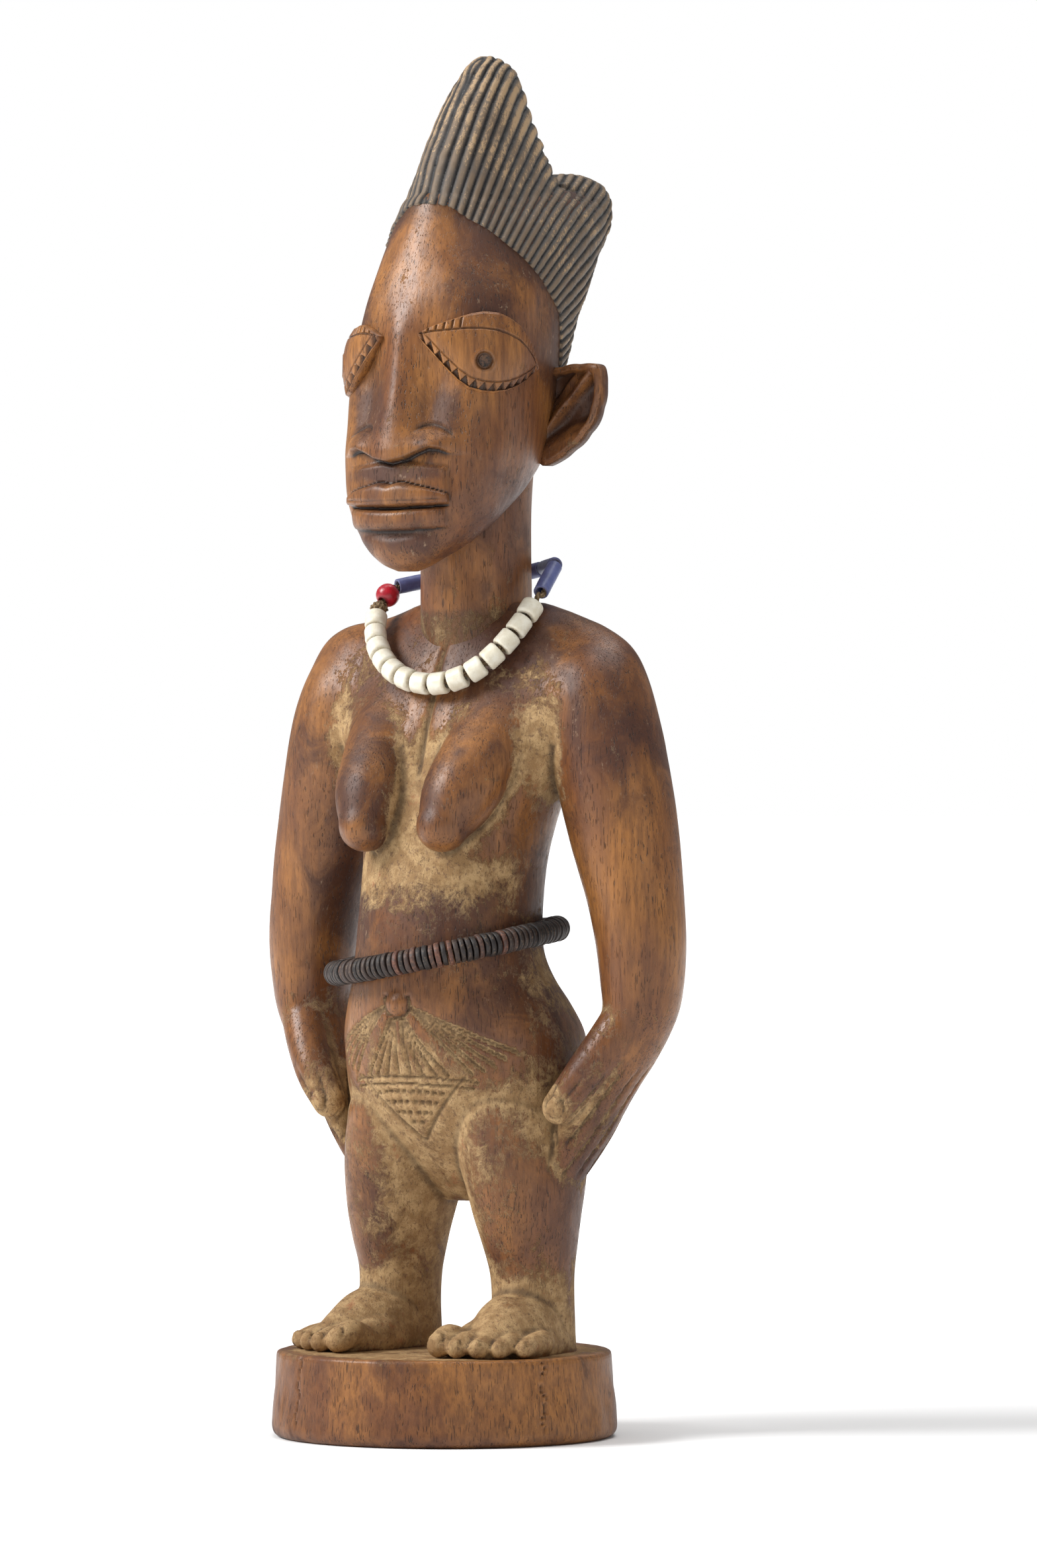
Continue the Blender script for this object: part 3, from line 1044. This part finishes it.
def ridge_number(x, y, z):
    """Which ridge a point lies on. u = |x| cos(slant) + y sin(slant) is carried evenly on round the
    back, and ridges fan out from a point below: n = 0.775 a + 0.0047 (a - 15)^2, with a the angle
    in degrees of (u, z) about that point."""
    side = np.abs(x)
    wide, half, back = [np.interp(z, BACK_OF_HAIR[0], BACK_OF_HAIR[k]) for k in (1, 2, 3)]
    deep = back - wide
    turn = np.arctan2((y - wide) / deep, side / half)
    start = np.radians(28)
    scale = np.hypot((y - wide) / deep, side / half)
    held = np.minimum(turn, start)
    across, along = np.cos(SLANT), np.sin(SLANT)
    u = scale * (half * across * np.cos(held) + deep * along * np.sin(held)) + wide * along
    pace = -half * across * np.sin(start) + deep * along * np.cos(start)
    u = np.where(turn > start, u + np.maximum(pace, 8) * (turn - start), side * across + y * along)

    def count(u):
        angle = np.degrees(np.arctan2(u - FAN_U, z - FAN_Z))
        return 0.775 * angle + 0.0047 * (angle - 15) ** 2
    front = np.interp(z, [236, 242, 250, 255, 260.3, 265.7, 271, 276, 279.4, 281],
                      [-12, -10.1, -6.8, -4.8, -2.6, 0.8, 4, 8.4, 11.8, 14]) * along
    return count(u) - (count(front) - 11) * np.exp(-(x / 5.5) ** 2) * (y < 20)


class FIGURE_OT_hair(Operator):
    """Fuses the two lobes with the cap of the head and carves the ridges into them"""
    bl_idname = "figure.hair"
    bl_label = "Hair crest"

    def execute(self, context):
        sizes = context.scene.figure_sizes
        cap = np.array(HEAD_ROWS)[6:].copy()
        cap[:, 3] -= 0.55
        cap[:, 4] += 0.7
        cap[:, 5] += 0.55
        hair = add_mesh("hair", *closed([loft(cap, 120, 120), loft(FRONT_LOBE_ROWS, 96, 90),
                                         loft(REAR_LOBE_ROWS, 72, 50)]))
        fused(hair, sizes.hair_voxel, 6)
        hair.data.shade_smooth()
        p, n = read_points(hair), read_points(hair, "normal")
        x, y, z = p.T
        number = ridge_number(x, y, z)
        step = np.abs((number % 1) * 2 - 1)
        shape = np.sqrt(np.clip(1 - step ** 2.4, 0, 1))
        notch = hill((y - 33, 4.2), (z - 255, 3.6)) * (z > 249)
        line = np.interp(z, HAIRLINE[0], HAIRLINE[1])
        inside = rise(-0.12, 0.12, y - line)
        h = sizes.ridge_depth * (shape - 1) * (1 - 0.8 * notch) + 0.1 * lumps(x, y, z, 3.4, 61)
        chips = np.abs(lumps(x, y, z, 3.6, 62)) + 0.5 * np.abs(lumps(x, y, z, 1.9, 65))
        h -= notch * 1.1 * (1 - chips)
        h += (0.35 * hill((y - 28, 6), (z - 262, 10)) * lumps(x * 0.2, y, z, 4.6, 66)
              + 0.12 * lumps(number * 6, z * 0, z * 0.4, 7, 63))
        h = h * inside - 2.4 * (1 - inside)
        write_points(hair, p + n * h[:, None])
        paint(hair, "ridge", number)
        wear = (0.36 * hill((y - 12, 13), (z - 273, 15)) + 0.12 * rise(236, 262, z)
                + 0.12 * rise(8, 16, y) - 0.01 + 0.22 * lumps(x, y, z, 11, 64) - 0.5 * notch)
        paint(hair, "worn", wear)
        # Cut level where the points halve, so that neither piece grows too heavy.
        middle = round(float(np.median(p[:, 2])), 1)
        for name, above in (("hair_upper", True), ("hair_lower", False)):
            part = half_of(hair, name, middle, above)
            finish_wood(part, "carved hair")
        bpy.data.objects.remove(hair)
        return {"FINISHED"}


# ---------------------------------------------------------------- the plinth

class FIGURE_OT_plinth(Operator):
    """Turns the plinth's profile, with a rounded foot, hand-cut unevenness and three drying cracks"""
    bl_idname = "figure.plinth"
    bl_label = "Plinth"

    def execute(self, context):
        low, top, high = 35.3, 34.0, SOLE
        corner = np.linspace(0, np.pi / 2, 12)
        r = np.concatenate([np.linspace(0.3, 32.5, 40), 33.0 + 2.3 * np.sin(corner),
                            np.linspace(low, 34.25, 60), top - 0.75 + 0.95 * np.cos(corner),
                            np.linspace(33, 0.3, 90)])
        z = np.concatenate([np.zeros(40), 2.3 - 2.3 * np.cos(corner), np.linspace(2.6, high - 1.1, 60),
                            high - 0.95 + 0.95 * np.sin(corner), np.full(90, high)])
        t = np.linspace(0, 2 * np.pi, 400, endpoint=False)[None, :]
        r, z = r[:, None], z[:, None] + 0 * t
        x, y = r * np.cos(t), r * np.sin(t)
        uneven = 0.22 * lumps(x, y, z, 16, 71) + 0.10 * lumps(x, y, z * 0.4, 5, 72)
        edge = rise(30, 33, r) * rise(0.3, 2, z)
        r = r + (uneven - 0.15) * edge
        roof = (z > high - 0.5) * rise(33.4, 31, r)
        z = z + roof * (0.18 * lumps(x, y, 0 * x, 12, 73) - 0.1)
        crack = 0 * z
        for turn, width in ((-1.98, 0.010), (-0.35, 0.008), (2.2, 0.012)):
            bend = turn + 0.012 * np.sin(z * 0.9) + 0.006 * np.sin(z * 2.1)
            off = np.abs((t - bend + np.pi) % (2 * np.pi) - np.pi)
            crack = np.maximum(crack, groove(off, width) * rise(20, 30, r) * rise(2.0, 5, z))
        r = r - 0.7 * crack * (r > 31)
        grid = np.stack([r * np.cos(t), r * np.sin(t), z], axis=2)
        plinth = solid("plinth", grid)
        x, y, z = read_points(plinth).T
        far = np.hypot(x, y)
        paint(plinth, "dust", (z > high - 1.3) * rise(36, 27, far) + 0.16 * rise(9, 16, z) - 0.10)
        streaks = np.abs(lumps(x, y, z * 0.3, 2.6, 77)) + 0.5 * lumps(x, y, z * 0.5, 7, 78)
        paint(plinth, "patina", 0.3 * lumps(x, y, z, 34, 75) + 0.35 * (z > high - 1) * rise(25, 15, far)
              + 0.26 * streaks * (far > 33) + 0.5 * rise(3.5, 0.5, z) - 0.3)
        paint(plinth, "crease", crack.ravel() * 0.9)
        finish_wood(plinth, "plinth wood")
        return {"FINISHED"}


# ---------------------------------------------------------------- strings and beads

def joint_of(body):
    for joint in frame["joints"]:
        if joint["child"] == body:
            return np.array(joint["pos_m"]) / MM, np.array(joint["axis"], float)
    raise RuntimeError("no joint carries " + body)


def turned(profile, centre, axis, sides, wobble=0.0, seed=0):
    """A ring-shaped bead: a closed profile of (radius, height) is carried round the axis, and the
    outside is dented by wobble * lumps. Returns a grid whose first and last rows meet."""
    axis = axis / np.linalg.norm(axis)
    helper = np.array([0, 0, 1.0]) if abs(axis[2]) < 0.9 else np.array([1.0, 0, 0])
    u = np.cross(axis, helper)
    u /= np.linalg.norm(u)
    v = np.cross(axis, u)
    t = np.linspace(0, 2 * np.pi, sides, endpoint=False)[None, :, None]
    r, h = profile[:, 0][:, None, None], profile[:, 1][:, None, None]
    ring = np.cos(t) * u + np.sin(t) * v
    plain = centre + r * ring + h * axis
    if wobble:
        r = r + wobble * lumps(plain[..., 0], plain[..., 1], plain[..., 2], 3.1, seed)[..., None] * (r > 1.3)
        h = h + wobble * 0.7 * lumps(plain[..., 0], plain[..., 1], plain[..., 2], 2.3, seed + 1)[..., None]
    return centre + r * ring + h * axis


def ring_faces(rows, sides, start=0):
    """Quads of a grid whose rows and columns both close on themselves."""
    j, i = np.meshgrid(np.arange(rows), np.arange(sides), indexing="ij")
    k, m = (i + 1) % sides, (j + 1) % rows
    return (start + np.stack([j * sides + i, j * sides + k, m * sides + k, m * sides + i],
                             axis=2)).reshape(-1, 4).tolist()


def bead_profile(radius, length, bore, edge, power=2.0):
    """Up the outside with rounded ends and back down the hole."""
    half = length / 2
    a = np.linspace(0, np.pi / 2, 8)
    out, back = edge * np.sin(a) ** (2 / power), edge * np.cos(a) ** (2 / power)
    up = np.column_stack([radius - edge + out, -half + edge - back])
    belly = np.column_stack([np.full(6, radius), np.linspace(-half + edge, half - edge, 8)[1:-1]])
    down = (up * [1, -1])[::-1]
    face = np.linspace(radius - edge, bore + 0.25, 5)[1:]
    top = np.column_stack([face, np.full(4, half)])
    hole = np.column_stack([np.full(5, bore), np.linspace(half - 0.25, -half + 0.25, 5)])
    bottom = np.column_stack([face[::-1], np.full(4, -half)])
    return np.vstack([up, belly, down, top, hole, bottom])


BORE = 0.95


def add_bead(name, profile, wobble, seed, material_name, slot):
    centre, axis = joint_of(name)
    grid = turned(profile, centre, axis, 44, wobble, seed)
    bead = add_mesh(name + "_glass", grid.reshape(-1, 3), ring_faces(*grid.shape[:2]))
    outward(bead)
    along = (read_points(bead) - centre) @ (axis / np.linalg.norm(axis))
    half = profile[:, 1].max()
    radius = np.linalg.norm(read_points(bead) - centre - along[:, None] * axis, axis=1)
    paint(bead, "rim", 0.75 * rise(0.72, 1.0, np.abs(along) / half) + 0.4 * rise(1.5, 1.0, radius) - 0.1)
    finish_piece(bead, material(material_name), name, slot, name)


class FIGURE_OT_beads(Operator):
    """Turns the white, blue and red beads on their own axes, each a little different"""
    bl_idname = "figure.beads"
    bl_label = "Glass beads"

    def execute(self, context):
        dice = np.random.default_rng(5)
        for body in sorted(frame["bodies"]):
            if body.startswith("white_bead"):
                profile = bead_profile(2.34 + dice.uniform(-0.12, 0.03), 3.84 + dice.uniform(-0.22, 0.0),
                                       BORE, 0.5 + dice.uniform(0, 0.25))
                add_bead(body, profile, 0.02, int(dice.integers(1000)), "white glass", "white_glass")
            elif body.startswith("blue_bead"):
                profile = bead_profile(1.58, 10.1 - dice.uniform(0, 0.3), BORE, 0.16, 3)
                add_bead(body, profile, 0.035, int(dice.integers(1000)), "blue glass", "blue_glass")
            elif body == "red_bead":
                a = np.linspace(-1.17, 1.17, 34)
                outside = np.column_stack([2.45 * np.cos(a), 2.36 * np.sin(a)])
                hole = np.column_stack([np.full(8, BORE), np.linspace(2.1, -2.1, 8)])
                add_bead(body, np.vstack([outside, hole]), 0.05, 9, "red glass", "red_glass")
        return {"FINISHED"}


def loop_of(node, steps):
    """Centre line of a closed string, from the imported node: its points are sorted by their turn
    about the middle and averaged in even bins, and gaps are filled along the loop."""
    mesh = frame["nodes"][node].data
    co = np.zeros(len(mesh.vertices) * 3, np.float32)
    mesh.vertices.foreach_get("co", co)
    p = co.reshape(-1, 3).astype(float) / MM
    middle = (p.min(0) + p.max(0)) / 2
    turn = np.arctan2(p[:, 0] - middle[0], -(p[:, 1] - middle[1]))
    keys = np.round(turn * 180 / np.pi / 0.6).astype(int)
    groups, where = np.unique(keys, return_inverse=True)
    count = np.bincount(where)
    centres = np.column_stack([np.bincount(where, p[:, k]) / count for k in range(3)])
    angles = np.bincount(where, turn) / count
    full = count >= 6
    even = np.linspace(-np.pi, np.pi, steps, endpoint=False)
    return np.column_stack([np.interp(even, angles[full], centres[full][:, k], period=2 * np.pi)
                            for k in range(3)])


def strands(path, offset, radius, twists, count, sides=8):
    """Threads wound round a closed path: thread k runs at offset from it at the turn
    2 pi (k / count + twists s), with s the share of the loop."""
    ways = np.roll(path, -1, 0) - np.roll(path, 1, 0)
    ways /= np.linalg.norm(ways, axis=1)[:, None]
    across = np.cross(ways, [0, 0, 1.0])
    across /= np.linalg.norm(across, axis=1)[:, None]
    up = np.cross(across, ways)
    s = np.arange(len(path)) / len(path)
    grids = []
    for k in range(count):
        a = 2 * np.pi * (k / count + twists * s)
        centre = path + offset * (np.cos(a)[:, None] * across + np.sin(a)[:, None] * up)
        t = np.linspace(0, 2 * np.pi, sides, endpoint=False)[None, :, None]
        grids.append(centre[:, None] + radius * (np.cos(t) * across[:, None] + np.sin(t) * up[:, None]))
    return grids


def add_rings(name, grids):
    points, faces, start = [], [], 0
    for grid in grids:
        points.append(grid.reshape(-1, 3))
        faces += ring_faces(*grid.shape[:2], start)
        start += grid.shape[0] * grid.shape[1]
    obj = add_mesh(name, np.vstack(points), faces)
    outward(obj)
    return obj


def fibre_lump(name, node, size, seed):
    """A knot: a ball wound with shallow ridges, r = 1 + 0.10 sin(5t + 7a) + 0.07 sin(8t - 6a)."""
    low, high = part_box(node)
    centre = (np.array(low) + np.array(high)) / 2 / MM
    a, t, unit = sphere(60, 40, 0.05)
    r = 1 + 0.10 * np.sin(5 * t + 7 * a) + 0.07 * np.sin(8 * t - 6 * a + seed)
    return solid(name, centre + unit * r[..., None] * np.array(size))


class FIGURE_OT_strings(Operator):
    """Twists the two strings from threads and ties their knots"""
    bl_idname = "figure.strings"
    bl_label = "Strings and knots"

    def execute(self, context):
        for name, node, body, twists in (("necklace_threads", "necklace_string", "necklace", 34),
                                         ("waist_threads", "waist_cord", "waist_string", 36)):
            path = loop_of(node, 720)
            smooth = path.copy()
            for _ in range(3):
                smooth = (smooth + np.roll(smooth, 1, 0) + np.roll(smooth, -1, 0)) / 3
            threads = add_rings(name, strands(smooth, 0.30, 0.30, twists, 3))
            finish_piece(threads, material("twisted fibre"), body, "fibre", node)
        knot = fibre_lump("necklace_tie", "necklace_knot", (1.7, 1.75, 1.35), 1)
        finish_piece(knot, material("twisted fibre"), "necklace", "fibre", "necklace_knot")
        tie = fibre_lump("waist_tie", "waist_knot", (1.25, 1.2, 1.3), 2)
        finish_piece(tie, material("twisted fibre"), "waist_string", "fibre", "waist_knot")
        return {"FINISHED"}


WAIST_CENTRE = np.array([-0.6, 1.8, WAIST_CUT])
WAIST_RADIUS, WAIST_TILT, WAIST_HEADING = 23.1, 11.5, 35.0
KNOT_GAP, DISCS_IN_GROUP, GROUPS = 4.0, 10, 12


def waist_axes():
    """The loop's own x, y and z: turned by its heading, then tipped upwards towards it."""
    h, t = np.radians(WAIST_HEADING), np.radians(WAIST_TILT)
    x = np.array([np.cos(h) * np.cos(t), np.sin(h) * np.cos(t), np.sin(t)])
    y = np.array([-np.sin(h), np.cos(h), 0])
    return x, y, np.cross(x, y)


class FIGURE_OT_discs(Operator):
    """Strings the shell discs round the waist in groups, each disc with its own size and shade"""
    bl_idname = "figure.discs"
    bl_label = "Shell discs"

    def execute(self, context):
        dice = np.random.default_rng(11)
        ax, ay, az = waist_axes()
        total = DISCS_IN_GROUP * GROUPS
        step = np.radians((360 - KNOT_GAP) / total)
        for g in range(GROUPS):
            grids, shades = [], []
            for i in range(DISCS_IN_GROUP):
                place = g * DISCS_IN_GROUP + i
                turn = np.radians(90 + KNOT_GAP / 2) + (place + 0.5) * step
                out = np.cos(turn) * ax + np.sin(turn) * ay
                centre = WAIST_CENTRE + WAIST_RADIUS * out + az * dice.uniform(-0.08, 0.08)
                way = -np.sin(turn) * ax + np.cos(turn) * ay + dice.normal(0, 0.012, 3)
                radius = 2.52 + 0.07 * np.sin(place * 3.5) - dice.uniform(0, 0.12)
                half = 0.50 + 0.02 * np.sin(np.radians(137 * place)) - dice.uniform(0, 0.03)
                soft = 0.07 + dice.uniform(0, 0.10)
                profile = np.array([[0.8, -half], [radius - soft, -half], [radius, -half + soft * 0.9],
                                    [radius, half - soft * 0.9], [radius - soft, half], [0.8, half]])
                grids.append(turned(profile, centre, way, 30, 0.05, int(dice.integers(1000))))
                shades.append(dice.uniform(0, 1) ** 1.6)
            name = "waist_discs_%02d" % (g + 1)
            discs = add_rings(name + "_shell", grids)
            per = grids[0].shape[0] * grids[0].shape[1]
            paint(discs, "shade", np.repeat(shades, per))
            rim = np.array([0.2, 0.7, 1, 1, 0.7, 0.2])
            paint(discs, "rim", np.tile(np.repeat(rim, 30), DISCS_IN_GROUP))
            finish_piece(discs, material("shell discs"), "waist_string", "shell_discs", name)
        return {"FINISHED"}


# ---------------------------------------------------------------- materials and stage

MATERIALS = {}


def material(name):
    return MATERIALS[name]


class FIGURE_OT_finishes(Operator):
    """Makes the wood, hair, glass, fibre, shell and iron, and gives the iron to the pupil pins"""
    bl_idname = "figure.finishes"
    bl_label = "Finishes"

    def execute(self, context):
        s = context.scene.figure_sizes
        light, mid, dark, dust = (tuple(c) for c in (s.wood_light, s.wood_mid, s.wood_dark, s.dust))
        made = [
            wood_material("carved wood", light, mid, dark, dust, 0.36),
            wood_material("plinth wood", light, mid, dark, dust, 0.42, (1, 1, 0.4), 0.9),
            hair_material(),
            glass_material("white glass", (0.80, 0.76, 0.64), (0.70, 0.64, 0.50), (0.26, 0.17, 0.095),
                           0.34, 0.15),
            glass_material("blue glass", (0.105, 0.125, 0.30), (0.075, 0.09, 0.225), (0.14, 0.12, 0.13),
                           0.42),
            glass_material("red glass", (0.50, 0.012, 0.030), (0.33, 0.008, 0.020), (0.10, 0.012, 0.014),
                           0.30),
            fibre_material(), disc_material(), iron_material()]
        MATERIALS.update({m.name: m for m in made})
        for node in ("pupil_pin_left", "pupil_pin_right"):
            obj = frame["nodes"][node]
            obj.data.materials.clear()
            obj.data.materials.append(material("old iron"))
        return {"FINISHED"}


class FIGURE_OT_stage(Operator):
    """Sets the camera, the soft lights and the pale flat floor"""
    bl_idname = "figure.stage"
    bl_label = "Stage"

    def execute(self, context):
        scene = context.scene
        turn, away, height = np.radians(35), 1.6, 0.1326
        eye = bpy.data.cameras.new("camera")
        eye.sensor_fit, eye.sensor_height, eye.lens = "VERTICAL", 36, 180.4
        eye.shift_x = 0.0472
        camera = bpy.data.objects.new("camera", eye)
        camera.location = (away * np.sin(turn), -away * np.cos(turn), height)
        camera.rotation_euler = (np.pi / 2, 0, turn)
        scene.collection.objects.link(camera)
        scene.camera = camera
        scene.view_settings.view_transform = "Standard"
        scene.view_settings.exposure = 0.0
        world = bpy.data.worlds.new("studio")
        world.use_nodes = True
        tree = world.node_tree
        ray = tree.nodes.new("ShaderNodeLightPath")
        level = tree.nodes.new("ShaderNodeMapRange")
        level.inputs["To Min"].default_value = 0.31
        level.inputs["To Max"].default_value = 1.0
        sky = tree.nodes["Background"]
        sky.inputs["Color"].default_value = (1, 1, 1, 1)
        tree.links.new(ray.outputs["Is Camera Ray"], level.inputs["Value"])
        tree.links.new(level.outputs[0], sky.inputs["Strength"])
        scene.world = world
        for name, place, size, power in (
                ("key light", (-0.85, -0.95, 1.10), 0.70, 30),
                ("fill light", (1.6, -0.7, 0.6), 1.0, 1.6),
                ("top light", (0.1, 0.2, 1.6), 1.1, 15)):
            lamp = bpy.data.lights.new(name, "AREA")
            lamp.size, lamp.energy = size, power
            obj = bpy.data.objects.new(name, lamp)
            obj.location = place
            aim = np.array([0, 0, 0.14]) - np.array(place)
            obj.rotation_euler = (float(np.arccos(-aim[2] / np.linalg.norm(aim))), 0,
                                  float(np.arctan2(aim[1], aim[0]) - np.pi / 2))
            scene.collection.objects.link(obj)
        # A wide flat floor that takes shadows near the figure and is plain white further out.
        r = np.concatenate([np.linspace(0.01, 2.0, 40), np.linspace(2.2, 30.0, 30)])[:, None]
        t = np.linspace(0, 2 * np.pi, 96, endpoint=False)[None, :]
        grid = np.stack([r * np.cos(t), r * np.sin(t), 0 * r * t], axis=2)
        faces = wall_faces(len(r), 96).tolist() + [list(range(96))]
        floor = add_mesh("floor", grid.reshape(-1, 3) / MM, faces)
        floor.data.shade_smooth()
        floor.data.materials.append(stage_material())
        return {"FINISHED"}


class FIGURE_PT_panel(Panel):
    bl_label = "Standing figure"
    bl_idname = "FIGURE_PT_panel"
    bl_space_type = "VIEW_3D"
    bl_region_type = "UI"
    bl_category = "Figure"

    def draw(self, context):
        sizes = context.scene.figure_sizes
        for key in ("body_voxel", "hair_voxel", "ridge_depth", "cut_depth", "face_columns",
                    "wood_light", "wood_mid", "wood_dark", "dust"):
            self.layout.prop(sizes, key)
        for step in STEPS:
            self.layout.operator(step.bl_idname)


STEPS = (FIGURE_OT_stage, FIGURE_OT_finishes, FIGURE_OT_plinth, FIGURE_OT_body, FIGURE_OT_neck,
         FIGURE_OT_head, FIGURE_OT_eyes, FIGURE_OT_ears, FIGURE_OT_hair, FIGURE_OT_beads,
         FIGURE_OT_strings, FIGURE_OT_discs)
CLASSES = (FIGURE_PG_sizes, *STEPS, FIGURE_PT_panel)


def register():
    for cls in CLASSES:
        bpy.utils.register_class(cls)
    bpy.types.Scene.figure_sizes = PointerProperty(type=FIGURE_PG_sizes)


def unregister():
    del bpy.types.Scene.figure_sizes
    for cls in reversed(CLASSES):
        bpy.utils.unregister_class(cls)


def main():
    register()
    for step in STEPS:
        group, name = step.bl_idname.split(".")
        getattr(getattr(bpy.ops, group), name)()


if __name__ == "__main__":
    main()
